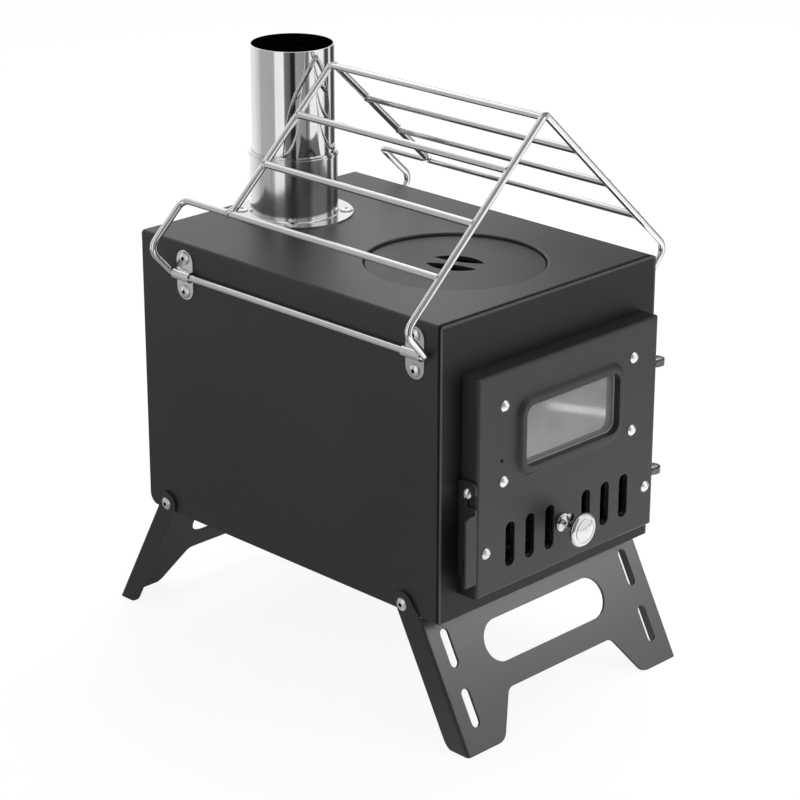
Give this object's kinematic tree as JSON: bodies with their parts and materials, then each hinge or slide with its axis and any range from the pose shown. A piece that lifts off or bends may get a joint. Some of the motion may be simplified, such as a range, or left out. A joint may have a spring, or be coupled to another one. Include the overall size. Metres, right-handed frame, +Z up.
{
  "type": "tent wood stove",
  "caption": "Folding sheet-metal wood stove for tents with a hinged window door, sliding air control, lift-out cooking lid, stub flue pipe, folding wire racks and legs.",
  "frame": {"origin": "on the floor, under the centre of the bounding box", "axes": "+X to the right seen from the door, +Y from the door to the back, +Z up"},
  "size_m": [0.2544, 0.3686, 0.4193],
  "materials": {
    "painted_sheet": "heat-proof black-grey paint with a fine grain",
    "grate_steel": "dark scaled steel",
    "polished_steel": "polished stainless steel",
    "plain_steel": "plain stainless sheet",
    "rivet_steel": "smooth bright fasteners",
    "wire_steel": "drawn stainless wire",
    "stove_glass": "clear glass ceramic",
    "gasket_cord": "flat woven glass fibre tape"
  },
  "bodies": {
    "stove": {"body_wrap": "painted_sheet", "front_panel": "painted_sheet", "bottom_and_back": "painted_sheet", "fire_grate": "grate_steel", "flue_flange": "polished_steel", "flue_spigot": "polished_steel", "flue_rivets": "rivet_steel", "left_rack_straps": "plain_steel", "right_rack_straps": "plain_steel", "left_strap_rivets": "rivet_steel", "right_strap_rivets": "rivet_steel", "front_leg_rivets": "rivet_steel", "rear_leg_rivets": "rivet_steel", "hinge_brackets": "plain_steel", "hinge_pins": "rivet_steel"},
    "door": {"door_pan": "painted_sheet", "door_hinge_ears": "plain_steel", "window_glass": "stove_glass", "window_gasket": "gasket_cord", "window_retainer": "plain_steel", "window_screws": "rivet_steel", "air_guide": "plain_steel", "guide_screws": "rivet_steel", "latch_screw": "rivet_steel", "latch_washer": "rivet_steel"},
    "air_control": {"air_slider": "plain_steel", "knob_stem": "polished_steel", "knob_head": "polished_steel"},
    "latch": {"latch_lever": "painted_sheet"},
    "lid": {"cooking_lid": "painted_sheet"},
    "pipe": {"flue_pipe": "polished_steel"},
    "left_rack": {"left_rack_loop": "wire_steel", "left_rack_rungs": "wire_steel"},
    "right_rack": {"right_rack_loop": "wire_steel", "right_rack_rungs": "wire_steel"},
    "front_leg_frame": {"front_leg": "painted_sheet"},
    "rear_leg_frame": {"rear_leg": "painted_sheet"}
  },
  "joints": [
    {"name": "door_hinge", "type": "hinge", "parent": "stove", "child": "door", "pos_m": [0.1, -0.15396, 0.1811], "axis": [0, 0, 1], "range_deg": [0, 150]},
    {"name": "air_slide", "type": "slide", "parent": "door", "child": "air_control", "axis": [1, 0, 0], "range_m": [0, 0.01]},
    {"name": "latch_pivot", "type": "hinge", "parent": "door", "child": "latch", "pos_m": [-0.0879, -0.15396, 0.1788], "axis": [-1, 0, 0], "range_deg": [0, 75]},
    {"name": "lid_lift", "type": "slide", "parent": "stove", "child": "lid", "axis": [0, 0, 1], "range_m": [0, 0.045]},
    {"name": "pipe_lift", "type": "slide", "parent": "stove", "child": "pipe", "axis": [0, 0, 1], "range_m": [0, 0.06]},
    {"name": "left_rack_fold", "type": "hinge", "parent": "stove", "child": "left_rack", "pos_m": [-0.1088, -0.01211, 0.2731], "axis": [0, -1, 0], "range_deg": [0, 137.2]},
    {"name": "right_rack_fold", "type": "hinge", "parent": "stove", "child": "right_rack", "pos_m": [0.1088, -0.01211, 0.2731], "axis": [0, 1, 0], "range_deg": [0, 137.2]},
    {"name": "front_leg_fold", "type": "hinge", "parent": "stove", "child": "front_leg_frame", "pos_m": [0, -0.11391, 0.0924], "axis": [1, 0, 0], "range_deg": [0, 118.2]},
    {"name": "rear_leg_fold", "type": "hinge", "parent": "stove", "child": "rear_leg_frame", "pos_m": [0, 0.12659, 0.0924], "axis": [-1, 0, 0], "range_deg": [0, 118.2]}
  ]
}
